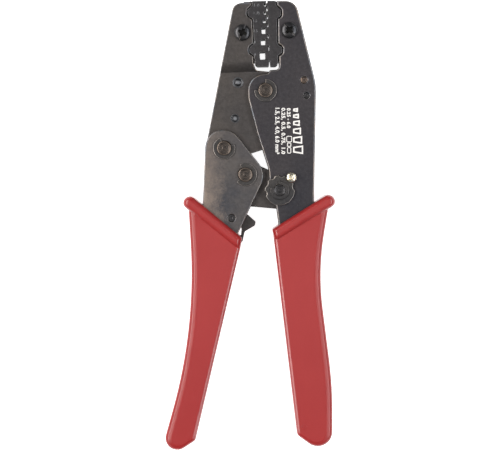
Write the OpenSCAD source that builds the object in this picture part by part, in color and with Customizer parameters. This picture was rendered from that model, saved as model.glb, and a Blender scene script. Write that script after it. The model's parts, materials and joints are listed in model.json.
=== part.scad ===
// Ratchet hand crimper for wire-end ferrules: two stamped-steel jaws, a toggle link with a
// ratchet sector, a sprung pawl and two moulded grips. It lies on its back, front face up.
// Every outline is drawn with the main pivot at its zero point; placed() moves it to the part's frame.

/* [Place] */
// Main pivot, to the right of the middle of the tool
pivot_x = 7.55; // [7:0.05:9]
// Main pivot, above the middle of the tool
pivot_y = 66.5; // [66:0.1:67]
// Height of the mid-plane over the surface that the tool lies on
mid_z = 10; // [10:0.1:11]

/* [Plates] */
// Thickness of the frame's and the handle's plates
plate_t = 2.5; // [2:0.1:2.6]
// Distance between the two outer plates
inner_gap = 7.5; // [7.5:0.1:8]
// Thickness of the jaw's and the link's plates
arm_t = 2.4; // [2:0.05:2.4]
// Distance between the two jaw arms
arm_gap = 2.5; // [2.4:0.1:2.5]

/* [Pins] */
// Radius of the three main pins
pin_r = 3.5; // [3:0.1:3.6]
// Radius of the adjuster pin's two ends
adjuster_r = 2.9; // [2.6:0.1:3]
// Radius of the eccentric middle of the adjuster pin
eccentric_r = 3.6; // [3.3:0.1:3.8]
// Radius of the pawl's pin
pawl_pin_r = 1.8; // [1.6:0.1:1.9]
// Radius of the rivets
rivet_r = 1.6; // [1.3:0.1:1.7]
// Running clearance of a pin in a moving plate
running = 0.05; // [0.03:0.01:0.08]
// Extra clearance of the link on the adjuster pin
toggle_play = 0.8; // [0.7:0.05:0.9]

/* [Dies] */
// Angle that the jaw still closes by until the dies meet
closing_angle = 0.75; // [0.7:0.01:0.8]
// Clearance between punch and nest when the dies are closed
die_clearance = 0.12; // [0.1:0.01:0.15]
// Gap between a die and the plates around it
die_gap = 0.45; // [0.3:0.05:0.6]

/* [Ratchet] */
// Teeth on the ratchet sector
teeth = 13; // [10:1:14]
// Radius of the tooth tips
tooth_tip_r = 15.7; // [15.5:0.1:15.8]
// Depth of a tooth
tooth_depth = 1.2; // [1:0.1:1.4]

/* [Grips] */
// Thickness of the grips
grip_t = 17.5; // [16:0.5:18]
// Thickness of the raised collar at each grip's mouth
collar_t = 20; // [20:0.5:20]
// Room between a grip and the steel inside it
grip_slack = 0.15; // [0.1:0.05:0.3]

/* [Hidden] */

black_steel = [0.27, 0.26, 0.26];
die_steel = [0.33, 0.32, 0.32];
pin_steel = [0.38, 0.35, 0.32];
nickel = [0.85, 0.82, 0.74];
spring_steel = [0.5, 0.5, 0.5];
red_vinyl = [0.7, 0.25, 0.24];

// Heights above the mid-plane
z_gap = inner_gap / 2;
z_face = z_gap + plate_t;
z_arm = arm_gap / 2;
z_arm_top = z_arm + arm_t;
joggle_rise = z_face - z_arm_top;

// Pivots and fixings, from the main pivot
handle_pivot = [-20.2, -28.2];
toggle_pivot = [-9.8, -41.1];
adjuster_pivot = [7.0, -48.8];
eccentric_shift = [-0.3, 0.3];
pawl_pivot = [-16.6, -62.4];
jaw_rivet_at = [-13.4, 4.0];
jaw_post_at = [-14.9, -13.6];
frame_rivet_at = [18.9, 5.1];
frame_post_at = [20.1, -2.5];
fixed_screw_at = [11.6, 29.3];
moving_screw_at = [-11.3, 28.1];
fixed_tang_rivets = [[16.2, -84], [18.4, -112]];
moving_tang_rivets = [[-26.0, -97], [-29.0, -114]];
pawl_post_at = [-21.4, -85.5];
pawl_hook_at = [-13.2, -74.6];
link_rivets_at = [[-1.8, -51.2], [-15.2, -49.0]];

// Fixings
die_screw_r = 2.0;
die_head_r = 4.0;
die_head_h = 2.3;
lock_screw_r = 1.4;
lock_head_r = 2.55;
lock_head_h = 1.8;
post_r = 1.4;
pawl_hook_r = 0.5;
low_head = 0.25;
fit_gap = 0.03;
clip_t = 0.8;
clip_gap = 0.1;
groove_depth = 0.6;
pin_end = 1.0;
pin_head_r = 5.4;
pin_head_h = 1.6;
wheel_r = 7.4;
wheel_t = 1.5;
wheel_notch_r = 1.8;
wheel_notch_at = 8.4;
wheel_notch_step = 36;
wheel_notches = 6;
wheel_notch_first = 12;
wire_r = 0.45;
play = 0.05;
over = 1;
// The lock screw stands in the wheel's second notch
lock_screw_at = adjuster_pivot + turned([wheel_notch_at, 0], wheel_notch_first + wheel_notch_step);
// Rings: outer radius, and the two angles between which each is open
main_clip = [5.5, 90, 180];
handle_clip = [5.4, 20, 109];
toggle_clip = [5.6, 120, 220];
adjuster_clip_ring = [4.6, 100, 160];

// ---- Outlines: lists of corners [x, y, radius], counter-clockwise ----

frame_outline = [
    [4.6, 43.6, 0], [6.6, 16.0, 0], [6.7, 10.2, 1.8], [2.2, 9.9, 1.2], [1.0, 8.3, 1.2],
    [-8.6, 8.3, 8.4], [-8.6, -3.5, 12], [-3.9, -21.5, 60], [1.6, -38.5, 12], [2.0, -45.5, 10],
    [5.4, -57.5, 15], [14.3, -127, 4], [25.5, -127, 4], [23.8, -58, 40], [24.8, 2.8, 30], [14.7, 43.6, 6]
];
jaw_outline = [
    [-5.0, 43.7, 0], [-15.7, 42.0, 4.5], [-31.2, -37.1, 8.9], [-16.5, -37.1, 6], [-11.9, -33.6, 2.5], [-10.8, -32.0, 0.6],
    [0.6, -28.4, 2], [8.6, -5.0, 8], [8.6, 8.6, 7], [-4.6, 9.9, 1.8], [-5.9, 13.5, 0.5]
];
handle_outline = [
    [-29.2, -19.2, 9], [-30.7, -56, 60], [-32.4, -95, 60], [-34.8, -122, 4], [-25.8, -122, 4],
    [-14.5, -72.4, 15], [0.5, -40.4, 9], [-16.1, -19.2, 9]
];
link_outline = [
    [-13.1, -32.2, 6.8], [-18.0, -43.0, 4], [-12.0, -56.6, 1], [-5.0, -57.0, 20],
    [16.4, -59.0, 7.9], [15.2, -44.8, 7.9]
];
fixed_tongue = [[3, 15.5, 1], [20.0, 15.5, 1.5], [14.6, 38.5, 2.5], [3, 38.5, 1]];
moving_tongue = [[-3, 38.5, 1], [-14.6, 38.5, 2.5], [-19.1, 15.8, 1.5], [-3, 15.8, 1]];
frame_spacer_outline = [[12, 14, 1.5], [12, 2.4, 1.5], [23.4, 1.2, 1], [23.2, 4, 1], [20.7, 14, 1]];
jaw_spacer_outline = [
    [6.5, 9.2, 6.3], [-21.5, 9.2, 1], [-23.2, 2.0, 2], [-8.0, -3.0, 3], [-5.5, -6.4, 3], [6.5, -6.4, 6.3]
];
fixed_tang_outline = [[10.5, -72, 1.5], [15.3, -120, 2], [23.7, -120, 2], [22.2, -66, 1.5]];
moving_tang_outline = [[-30.6, -92, 1.5], [-32.8, -119, 2], [-27.4, -119, 2], [-21.4, -92, 1.5]];
pawl_outline = [
    [-14.65, -56.3, 0.2], [-16.5, -58.2, 1], [-20.8, -60.5, 3.5], [-19.8, -66.8, 3.5], [-14.4, -66.8, 1],
    [-11.6, -66.9, 1.2], [-12.0, -71.0, 1.5], [-14.6, -73.6, 1], [-13.8, -76.2, 0.8], [-11.2, -74.2, 2],
    [-10.2, -69.2, 2], [-5.2, -66.3, 0.8], [-4.7, -64.4, 0.9], [-8.9, -60.6, 2.5], [-13.4, -60.4, 1]
];
pawl_room = [[-19, -66, 1], [-18, -86, 1], [-15.4, -85, 1], [-12.9, -79, 1], [-9.8, -68, 1]];

moving_grip_outline = [
    [-37.8, -56, 0], [-34.3, -115.8, 250], [-53.2, -184.4, 5.9], [-34.4, -171.9, 2.5], [-11.9, -75.5, 0]
];
moving_collar = [[-37.5, -50.4, 3.1], [-41.5, -55.4, 3.1], [-12.8, -78.6, 1.5], [-11.4, -72.0, 1.5]];
fixed_grip_outline = [
    [3.9, -71, 0], [15.6, -169.2, 3], [33.0, -181.7, 7.2], [33.0, -144.6, 200], [25.8, -88.2, 130],
    [31.0, -56.5, 0]
];
fixed_collar = [[31.9, -49.8, 3.1], [3.2, -67.8, 1.5], [4.8, -74.2, 1.5], [35.3, -55.2, 3.1]];

// Dies. A place on the face between them is [left of the seam, up along it], in the closed position.
seam_foot = [2.2, 12.0];
seam_tilt = 2.3;
seam_length = 31.6;
// Nests from the largest: height on the seam, half width, half width of the mouth, depth, punch's reach
nests = [
    [5.05, 1.85, 2.45, 4.5, 2.1], [11.6, 1.4, 2.05, 3.6, 1.8], [17.1, 1.45, 2.1, 3.0, 1.5],
    [21.75, 0.8, 1.45, 2.1, 1.2], [25.7, 0.65, 1.3, 1.6, 1.0], [29.7, 0.6, 1.1, 1.5, 0.9]
];
face_gap = 0.05;
punch_round = 0.15;
nest_round = 0.35;
fixed_die_back = [
    [2.5, 11.9, 0.4], [6.2, 11.9, 1.8], [6.0, 17.0, 1.2], [8.1, 18.2, 1.5], [8.1, 21.0, 1.5],
    [5.7, 22.4, 1.2], [5.5, 34.9, 1.2], [7.5, 36.3, 1.5], [7.5, 39.1, 1.5], [5.1, 41.3, 1.2],
    [5.0, 43.6, 0.3]
];
moving_die_back = [
    [-6.6, 43.4, 0.3], [-6.5, 41.3, 1.2], [-8.8, 39.1, 1.5], [-8.6, 36.3, 1.5], [-6.1, 34.8, 1.2],
    [-5.5, 22.6, 1.2], [-7.8, 21.1, 1.5], [-7.7, 18.3, 1.5], [-5.4, 16.9, 1.2], [-4.9, 11.8, 1.6],
    [1.7, 11.9, 0.4]
];

// ---- Functions ----

function xy(p) = [p[0], p[1]];
function unit(v) = v / norm(v);
function turned(p, a) = [p[0] * cos(a) - p[1] * sin(a), p[0] * sin(a) + p[1] * cos(a)];

// A corner's side towards its neighbour, its half angle, and +1 where the outline bulges there
function side(from, to) = unit(xy(to) - xy(from));
function half_angle(a, b, c) = acos(side(b, a) * side(b, c)) / 2;
function bulge(a, b, c) = -sign(cross(side(b, a), side(b, c)));

// The points of one corner: an arc of its radius, with steps of at most 12 degrees and 5 mm
function corner_points(a, b, c) =
    let (r = b[2], half = half_angle(a, b, c), inward = unit(side(b, a) + side(b, c)),
         centre = xy(b) + inward * r / sin(half), start = xy(b) + side(b, a) * r / tan(half),
         sweep = 180 - 2 * half, steps = max(2, ceil(sweep / 12), ceil(sweep * r * PI / 180 / 5)))
    r == 0 ? [xy(b)]
        : [for (i = [0:steps]) centre + turned(start - centre, bulge(a, b, c) * sweep * i / steps)];

// The whole outline's points
function rounded(list) =
    let (n = len(list))
    [for (i = [0:n - 1]) each corner_points(list[(i + n - 1) % n], list[i], list[(i + 1) % n])];

// The same outline with every side moved outwards by d
function grown(list, d) =
    let (n = len(list))
    [for (i = [0:n - 1])
        let (a = list[(i + n - 1) % n], b = list[i], c = list[(i + 1) % n],
             inward = unit(side(b, a) + side(b, c)), out = bulge(a, b, c),
             p = xy(b) - out * inward * d / sin(half_angle(a, b, c)))
        [p[0], p[1], max(0, b[2] + out * d)]];

// A place on the seam, as a corner with a radius, with the jaw opened by an angle
function on_seam(u, s, r, open) =
    let (p = turned(seam_foot + turned([u, s], seam_tilt), open)) [p[0], p[1], r];

// The fixed die's face from the top down, with its punches, and the moving die's face from the foot up
function punch_face(n, c) = [
    on_seam(0, n[0] + n[2] - c, punch_round, 0), on_seam(-n[4], n[0] + n[1] - c, punch_round, 0),
    on_seam(-n[4], n[0] - n[1] + c, punch_round, 0), on_seam(0, n[0] - n[2] + c, punch_round, 0)
];
function nest_face(n, open) = [
    on_seam(-face_gap, n[0] - n[2], punch_round, open), on_seam(-n[4], n[0] - n[1], punch_round, open),
    on_seam(-n[3], n[0] - n[1], nest_round, open), on_seam(-n[3], n[0] + n[1], nest_round, open),
    on_seam(-n[4], n[0] + n[1], punch_round, open), on_seam(-face_gap, n[0] + n[2], punch_round, open)
];
fixed_die_outline = concat(
    [on_seam(0, seam_length, 0, 0)],
    [for (i = [len(nests) - 1:-1:0]) each punch_face(nests[i], die_clearance)],
    fixed_die_back
);
moving_die_outline = concat(
    moving_die_back,
    [for (n = nests) each nest_face(n, closing_angle)],
    [on_seam(-face_gap, seam_length, 0, closing_angle)]
);

// ---- Shared shapes ----

// From the main pivot's zero point to the part's frame
module placed() { translate([pivot_x, pivot_y, mid_z]) children(); }
// A flat shape as a plate between two heights
module slab(low, high) { translate([0, 0, low]) linear_extrude(high - low) children(); }
module outline(list) { polygon(rounded(list)); }
// The room that a jaw plate leaves around a die, from the outline of the die's back
module die_pocket(back) { outline(grown(concat(back, [on_seam(0, seam_length, 0, 0)]), die_gap)); }
module at(p) { translate([p[0], p[1], 0]) children(); }
module hole(p, r) { at(p) circle(r = r, $fn = 48); }
// A round bar between two heights
module bar(p, r, low, high) { at(p) translate([0, 0, low]) cylinder(r = r, h = high - low, $fn = 48); }

// A pin with a head at the back, and a groove at the front for its ring
module grooved_pin(p, r, head_r) {
    groove = z_face + clip_gap / 2;
    bar(p, head_r, -z_face - pin_head_h, -z_face);
    bar(p, r, -z_face, groove);
    bar(p, r - groove_depth, groove, groove + clip_t + clip_gap);
    bar(p, r, groove + clip_t + clip_gap, groove + clip_t + clip_gap + pin_end);
}
// An open ring in a pin's groove, resting at a height
module clip_ring(p, ring, low, inner_r) {
    mouth = [2 * ring[0], 0];
    middle = (ring[1] + ring[2]) / 2;
    at(p) slab(low, low + clip_t) difference() {
        circle(r = ring[0], $fn = 48);
        circle(r = inner_r, $fn = 48);
        polygon([[0, 0], turned(mouth, ring[1]), turned(mouth, middle), turned(mouth, ring[2])]);
    }
}
// A domed screw head with a cross recess, standing on a face
module cross_head(p, r, h, low, turn) {
    recess = 0.6 * h;
    at(p) translate([0, 0, low]) difference() {
        rotate_extrude($fn = 48)
            polygon([[0, 0], [r, 0], [r, 0.45 * h], [0.86 * r, 0.8 * h], [0.55 * r, 0.96 * h], [0, h]]);
        for (a = [turn, turn + 90])
            rotate([0, 0, a]) translate([0, 0, h - recess + over])
                cube([1.15 * r, 0.26 * r, 2 * over], center = true);
    }
}
// A rivet or post through both outer plates, with a low head on each face
module riveted(p, r, head_r, head_h, top) {
    bar(p, r, -top, top);
    bar(p, head_r, top, top + head_h);
    bar(p, head_r, -top - head_h, -top);
}

// ---- Frame: the right-hand jaw and handle ----

module frame_plate() {
    slab(z_gap, z_face) difference() {
        outline(frame_outline);
        die_pocket(fixed_die_back);
        hole([0, 0], pin_r + fit_gap);
        hole(adjuster_pivot, adjuster_r + fit_gap);
        hole(frame_rivet_at, rivet_r + fit_gap);
        hole(frame_post_at, post_r + fit_gap);
        hole(fixed_screw_at, die_screw_r + fit_gap);
        for (p = fixed_tang_rivets) hole(p, rivet_r + fit_gap);
    }
}
module frame_plate_front() {
    color(black_steel) placed() difference() {
        frame_plate();
        bar(lock_screw_at, lock_screw_r + fit_gap, z_gap - over, z_face + over);
    }
}
module frame_plate_back() {
    color(black_steel) placed() mirror([0, 0, 1]) frame_plate();
}
module frame_spacer() {
    color(black_steel) placed() slab(-z_gap, z_gap) difference() {
        outline(frame_spacer_outline);
        hole(frame_rivet_at, rivet_r + fit_gap);
    }
}
module frame_tang_spacer() {
    color(black_steel) placed() slab(-z_gap, z_gap) difference() {
        outline(fixed_tang_outline);
        for (p = fixed_tang_rivets) hole(p, rivet_r + fit_gap);
    }
}
module frame_rivets() {
    color(pin_steel) placed() {
        riveted(frame_rivet_at, rivet_r, rivet_r + low_head, low_head, z_face);
        for (p = fixed_tang_rivets) bar(p, rivet_r, -z_face, z_face);
    }
}
module frame_spring_post() {
    color(pin_steel) placed() bar(frame_post_at, post_r, -z_face, z_face);
}
module fixed_die() {
    color(die_steel) placed() difference() {
        union() {
            slab(-z_face, z_face) outline(fixed_die_outline);
            slab(-z_gap + play, z_gap - play) outline(fixed_tongue);
        }
        bar(fixed_screw_at, die_screw_r + fit_gap, -z_face - over, z_face + over);
    }
}
module fixed_die_screw() {
    color(black_steel) placed() {
        cross_head(fixed_screw_at, die_head_r, die_head_h, z_face, 42);
        bar(fixed_screw_at, die_screw_r, -z_face, z_face);
    }
}
module main_pivot_pin() {
    color(pin_steel) placed() grooved_pin([0, 0], pin_r, pin_head_r);
}
module main_pivot_clip() {
    color(black_steel) placed()
        clip_ring([0, 0], main_clip, z_face + clip_gap, pin_r - groove_depth + fit_gap);
}
// The pin's middle is eccentric: turning it sets the end of the stroke
module adjuster_pin() {
    wheel_top = z_face + wheel_t + clip_gap;
    color(pin_steel) placed() {
        bar(adjuster_pivot, adjuster_r + 1.6, -z_face - pin_head_h, -z_face);
        bar(adjuster_pivot, adjuster_r, -z_face, wheel_top);
        bar(adjuster_pivot + eccentric_shift, eccentric_r, -z_gap + play, z_gap - play);
        bar(adjuster_pivot, adjuster_r - groove_depth / 2, wheel_top, wheel_top + clip_t);
        bar(adjuster_pivot, adjuster_r, wheel_top + clip_t, wheel_top + clip_t + pin_end / 4);
    }
}
module adjuster_wheel() {
    low = z_face + play;
    color(black_steel) placed() at(adjuster_pivot) slab(low, low + wheel_t) difference() {
        circle(r = wheel_r, $fn = 60);
        circle(r = adjuster_r + fit_gap, $fn = 48);
        for (i = [0:wheel_notches - 1])
            rotate(wheel_notch_first + i * wheel_notch_step)
                translate([wheel_notch_at, 0]) circle(r = wheel_notch_r, $fn = 24);
    }
}
module adjuster_clip() {
    inner_r = adjuster_r - groove_depth / 2 + fit_gap;
    color(black_steel) placed()
        clip_ring(adjuster_pivot, adjuster_clip_ring, z_face + wheel_t + clip_gap, inner_r);
}
module adjuster_lock_screw() {
    seat = z_face + wheel_t + clip_gap;
    color(nickel) placed() {
        cross_head(lock_screw_at, lock_head_r, lock_head_h, seat, 20);
        bar(lock_screw_at, lock_screw_r, z_gap, seat);
    }
}
module fixed_grip() {
    color(red_vinyl) placed() difference() {
        union() {
            slab(-grip_t / 2, grip_t / 2) outline(fixed_grip_outline);
            slab(-collar_t / 2, collar_t / 2) outline(fixed_collar);
        }
        slab(-z_face - grip_slack, z_face + grip_slack) outline(grown(frame_outline, grip_slack));
    }
}
// An extension spring: a short coil between the frame's plates, and a long hook that
// runs between the jaw arms to the jaw's post
coil_r = 2.5;
coil_bore_r = 1.6;
coil_from = 2.7;
coil_length = 7.4;
module along(from, turn) { at(from) rotate([0, 0, turn]) rotate([0, 90, 0]) children(); }
module wire_eye(p, post) {
    at(p) slab(play - wire_r, wire_r - play) difference() {
        circle(r = post + play + 2 * wire_r, $fn = 32);
        circle(r = post + play, $fn = 32);
    }
}
module spring(from, to, post_a, post_b, r, bore_r, gap, length) {
    way = to - from;
    turn = atan2(way[1], way[0]);
    wire_eye(from, post_a);
    wire_eye(to, post_b);
    along(from, turn) {
        translate([0, 0, gap]) difference() {
            cylinder(r = r, h = length, $fn = 32);
            translate([0, 0, wire_r * 2]) cylinder(r = bore_r, h = length - wire_r * 4, $fn = 32);
        }
        translate([0, 0, post_a + play + wire_r])
            cylinder(r = wire_r, h = gap - post_a - wire_r, $fn = 16);
        translate([0, 0, gap + length - play])
            cylinder(r = wire_r, h = norm(way) - gap - length - post_b - wire_r, $fn = 16);
    }
}
module return_spring() {
    color(spring_steel) placed()
        spring(frame_post_at, jaw_post_at, post_r, post_r, coil_r, coil_bore_r, coil_from, coil_length);
}

// ---- Jaw: the moving jaw, two joggled plates ----

module jaw_plate() {
    low_y = 9.2;
    high_y = 13.8;
    lean = 0.6;
    reach = 60;
    difference() {
        intersection() {
            slab(0, z_face) difference() {
                outline(jaw_outline);
                die_pocket(moving_die_back);
            }
            // The joggle, as the plates' side view
            rotate([90, 0, 90]) translate([0, 0, -reach]) linear_extrude(2 * reach) polygon([
                [-reach, z_arm], [low_y + lean, z_arm], [high_y + lean, z_arm + joggle_rise],
                [reach, z_arm + joggle_rise], [reach, z_face], [high_y, z_face], [low_y, z_arm_top],
                [-reach, z_arm_top]
            ]);
        }
        bar([0, 0], pin_r + running, -over, z_face + over);
        bar(handle_pivot, pin_r + running, -over, z_face + over);
        bar(jaw_rivet_at, rivet_r + fit_gap, -over, z_face + over);
        bar(jaw_post_at, post_r + fit_gap, -over, z_face + over);
        bar(moving_screw_at, die_screw_r + fit_gap, -over, z_face + over);
    }
}
module jaw_plate_front() { color(black_steel) placed() jaw_plate(); }
module jaw_plate_back() { color(black_steel) placed() mirror([0, 0, 1]) jaw_plate(); }
module jaw_spacer() {
    color(black_steel) placed() slab(-z_arm, z_arm) difference() {
        outline(jaw_spacer_outline);
        hole([0, 0], pin_r + running);
        hole(jaw_rivet_at, rivet_r + fit_gap);
    }
}
module jaw_eye_washer() {
    color(black_steel) placed() slab(-z_arm, z_arm) difference() {
        hole(handle_pivot, 6.5);
        hole(handle_pivot, pin_r + running);
    }
}
module jaw_rivet() {
    color(pin_steel) placed() {
        bar(jaw_rivet_at, rivet_r, -z_arm_top - 3 * low_head, z_arm_top + 3 * low_head);
        riveted(jaw_rivet_at, rivet_r, rivet_r + 1.1, low_head, z_arm_top);
    }
}
module jaw_spring_post() {
    color(pin_steel) placed() riveted(jaw_post_at, post_r, post_r + 2 * low_head, low_head, z_arm_top);
}
module moving_die() {
    color(die_steel) placed() difference() {
        union() {
            slab(-z_face, z_face) outline(moving_die_outline);
            slab(-z_gap + play, z_gap - play) outline(moving_tongue);
        }
        bar(moving_screw_at, die_screw_r + fit_gap, -z_face - over, z_face + over);
    }
}
module moving_die_screw() {
    color(black_steel) placed() {
        cross_head(moving_screw_at, die_head_r, die_head_h, z_face, 25);
        bar(moving_screw_at, die_screw_r, -z_face, z_face);
    }
}

// ---- Handle: the moving handle ----

module handle_plate() {
    slab(z_gap, z_face) difference() {
        outline(handle_outline);
        hole(handle_pivot, pin_r + fit_gap);
        hole(toggle_pivot, pin_r + fit_gap);
        hole(pawl_pivot, pawl_pin_r + fit_gap);
        hole(pawl_post_at, post_r + fit_gap);
        for (p = moving_tang_rivets) hole(p, rivet_r + fit_gap);
    }
}
module handle_plate_front() { color(black_steel) placed() handle_plate(); }
module handle_plate_back() { color(black_steel) placed() mirror([0, 0, 1]) handle_plate(); }
module handle_tang_spacer() {
    color(black_steel) placed() slab(-z_gap, z_gap) difference() {
        outline(moving_tang_outline);
        for (p = moving_tang_rivets) hole(p, rivet_r + fit_gap);
    }
}
module handle_rivets() {
    color(pin_steel) placed() for (p = moving_tang_rivets) bar(p, rivet_r, -z_face, z_face);
}
module handle_pin() { color(pin_steel) placed() grooved_pin(handle_pivot, pin_r, pin_head_r); }
module handle_pin_clip() {
    color(black_steel) placed()
        clip_ring(handle_pivot, handle_clip, z_face + clip_gap, pin_r - groove_depth + fit_gap);
}
module toggle_pin() { color(pin_steel) placed() grooved_pin(toggle_pivot, pin_r, pin_head_r); }
module toggle_pin_clip() {
    color(black_steel) placed()
        clip_ring(toggle_pivot, toggle_clip, z_face + clip_gap, pin_r - groove_depth + fit_gap);
}
module pawl_pin() { color(pin_steel) placed() bar(pawl_pivot, pawl_pin_r, -z_face, z_face); }
module pawl_spring_post() { color(pin_steel) placed() bar(pawl_post_at, post_r, -z_face, z_face); }
module pawl_spring() {
    color(spring_steel) placed()
        spring(pawl_post_at, pawl_hook_at, post_r, pawl_hook_r, 1.7, 0.8, 2.4, 7.2);
}
module moving_grip() {
    room = z_arm + 4 * grip_slack;
    color(red_vinyl) placed() difference() {
        union() {
            slab(-grip_t / 2, grip_t / 2) outline(moving_grip_outline);
            slab(-collar_t / 2, collar_t / 2) outline(moving_collar);
        }
        slab(-z_face - grip_slack, z_face + grip_slack) outline(grown(handle_outline, grip_slack));
        slab(-room, room) outline(pawl_room);
    }
}

// ---- Toggle link with its ratchet sector ----

sector_first = -170;
sector_last = -96;
tooth_root_r = tooth_tip_r - tooth_depth;
plain_sector_r = tooth_root_r - 0.8;
sector_arc = [for (i = [0:10]) sector_first + (sector_last - sector_first) * i / 10];
function tooth_row() =
    let (pitch = (sector_last - sector_first) / teeth)
    [for (i = [0:teeth - 1]) each [
        turned([tooth_root_r, 0], sector_first + i * pitch),
        turned([tooth_tip_r, 0], sector_first + (i + 0.5) * pitch)
    ]];
module link_shape() {
    difference() {
        union() {
            outline(link_outline);
            children();
        }
        hole(toggle_pivot, pin_r + running);
        hole(adjuster_pivot + eccentric_shift, eccentric_r + toggle_play);
        for (p = link_rivets_at) hole(p, rivet_r + fit_gap);
    }
}
module link_plate() {
    slab(z_arm, z_arm_top) link_shape() at(toggle_pivot)
        polygon(concat([[0, 0]], [for (a = sector_arc) turned([plain_sector_r, 0], a)]));
}
module link_plate_front() { color(black_steel) placed() link_plate(); }
module link_plate_back() { color(black_steel) placed() mirror([0, 0, 1]) link_plate(); }
module link_ratchet_plate() {
    color(die_steel) placed() slab(-z_arm, z_arm) link_shape() at(toggle_pivot)
        polygon(concat([[0, 0]], tooth_row(), [turned([tooth_root_r, 0], sector_last)]));
}
module link_rivets() {
    color(pin_steel) placed() for (p = link_rivets_at) bar(p, rivet_r, -z_arm_top, z_arm_top);
}

// ---- Pawl ----

module pawl() {
    half = z_arm + play * 4;
    slot = wire_r + play;
    color(die_steel) placed() {
        difference() {
            slab(-half, half) difference() {
                outline(pawl_outline);
                hole(pawl_pivot, pawl_pin_r + running);
            }
            // The forked tail, with room for the spring's hook
            bar(pawl_hook_at, pawl_hook_r + 2 * wire_r + 4 * play, -slot, slot);
        }
        bar(pawl_hook_at, pawl_hook_r, -half, half);
    }
}

frame_plate_front();
frame_plate_back();
frame_spacer();
frame_tang_spacer();
frame_rivets();
frame_spring_post();
fixed_die();
fixed_die_screw();
main_pivot_pin();
main_pivot_clip();
adjuster_pin();
adjuster_wheel();
adjuster_clip();
adjuster_lock_screw();
fixed_grip();
return_spring();
jaw_plate_front();
jaw_plate_back();
jaw_spacer();
jaw_eye_washer();
jaw_rivet();
jaw_spring_post();
moving_die();
moving_die_screw();
handle_plate_front();
handle_plate_back();
handle_tang_spacer();
handle_rivets();
handle_pin();
handle_pin_clip();
toggle_pin();
toggle_pin_clip();
pawl_pin();
pawl_spring_post();
pawl_spring();
moving_grip();
link_plate_front();
link_plate_back();
link_ratchet_plate();
link_rivets();
pawl();
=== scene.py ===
import json
import math

import bmesh
import bpy
from mathutils import Matrix, Vector
from mathutils.geometry import tessellate_polygon


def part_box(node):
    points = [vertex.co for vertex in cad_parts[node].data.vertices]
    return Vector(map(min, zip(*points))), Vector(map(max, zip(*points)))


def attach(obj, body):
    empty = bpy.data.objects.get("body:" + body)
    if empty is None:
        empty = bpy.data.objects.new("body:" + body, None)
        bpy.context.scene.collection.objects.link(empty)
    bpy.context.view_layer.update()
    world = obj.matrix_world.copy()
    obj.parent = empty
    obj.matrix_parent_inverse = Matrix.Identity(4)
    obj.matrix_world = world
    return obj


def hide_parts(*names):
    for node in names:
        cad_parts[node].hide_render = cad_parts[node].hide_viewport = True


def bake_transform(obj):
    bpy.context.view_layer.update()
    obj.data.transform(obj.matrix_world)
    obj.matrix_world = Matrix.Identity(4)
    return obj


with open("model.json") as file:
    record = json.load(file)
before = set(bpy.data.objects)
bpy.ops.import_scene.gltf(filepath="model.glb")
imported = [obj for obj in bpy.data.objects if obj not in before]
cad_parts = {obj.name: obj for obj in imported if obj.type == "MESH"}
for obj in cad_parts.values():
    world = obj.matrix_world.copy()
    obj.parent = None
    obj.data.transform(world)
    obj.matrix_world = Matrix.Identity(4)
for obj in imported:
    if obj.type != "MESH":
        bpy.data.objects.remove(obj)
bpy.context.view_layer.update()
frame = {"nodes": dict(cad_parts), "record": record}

# The looks of a ratchet crimper that lies on its back. Lengths are in metres, in the frame's own axes.
BODY_OF = {n: body for body, members in frame["record"]["behaviour"]["bodies"].items() for n in members}


# ---------------------------------------------------------------- camera, floor and light

CAMERA_HEIGHT = 0.80
CAMERA_TOWARDS_JAWS = 0.030
VIEW_WIDTH = 0.2450          # what the picture's width spans at the plates' front
VIEW_MIDDLE = 0.0007         # how far beyond the frame's middle the picture's middle lies
SENSOR = 36.0
FLOOR_HALF = 3.0
FLOOR_GLOW = 0.90
WORLD_STRENGTH = 0.19
LIT_PLACE = (0, 0, 0.01)
SQUARE = ((-1, -1), (1, -1), (1, 1), (-1, 1))

# Each soft box: its name, its place, its width and length, its power and its colour
SOFT_BOXES = (("over_box", (0.0, 0.10, 1.45), (0.75, 0.95), 1.6, (1, 1, 1)),
              ("left_box", (-0.50, 0.10, 0.55), (0.24, 0.9), 6.0, (1.0, 0.985, 0.965)),
              ("right_box", (0.50, 0.0, 0.55), (0.22, 0.9), 3.5, (0.97, 0.985, 1.0)))


def aim(thing, place, target):
    """Puts a camera or a light at a place, looking at a target, with +Y upwards in its picture."""
    back = (Vector(place) - Vector(target)).normalized()
    right = Vector((0, 1, 0)).cross(back).normalized()
    turned_to = Matrix((right, back.cross(right), back)).transposed().to_4x4()
    thing.matrix_world = Matrix.Translation(place) @ turned_to


def linked(name, data):
    """A new object in the scene."""
    made = bpy.data.objects.new(name, data)
    bpy.context.scene.collection.objects.link(made)
    return made


def make_camera():
    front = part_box("frame_plate_front")[1].z
    data = bpy.data.cameras.new("camera")
    data.sensor_width = SENSOR
    distance = math.hypot(CAMERA_HEIGHT - front, CAMERA_TOWARDS_JAWS - VIEW_MIDDLE)
    data.lens = SENSOR * distance / VIEW_WIDTH
    camera = linked("camera", data)
    aim(camera, (0, CAMERA_TOWARDS_JAWS, CAMERA_HEIGHT), (0, VIEW_MIDDLE, front))
    bpy.context.scene.camera = camera


def make_light(name, place, size, power, colour):
    data = bpy.data.lights.new(name, "AREA")
    data.shape = "RECTANGLE"
    data.size, data.size_y = size
    data.energy = power
    data.color = colour
    aim(linked(name, data), place, LIT_PLACE)


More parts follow.
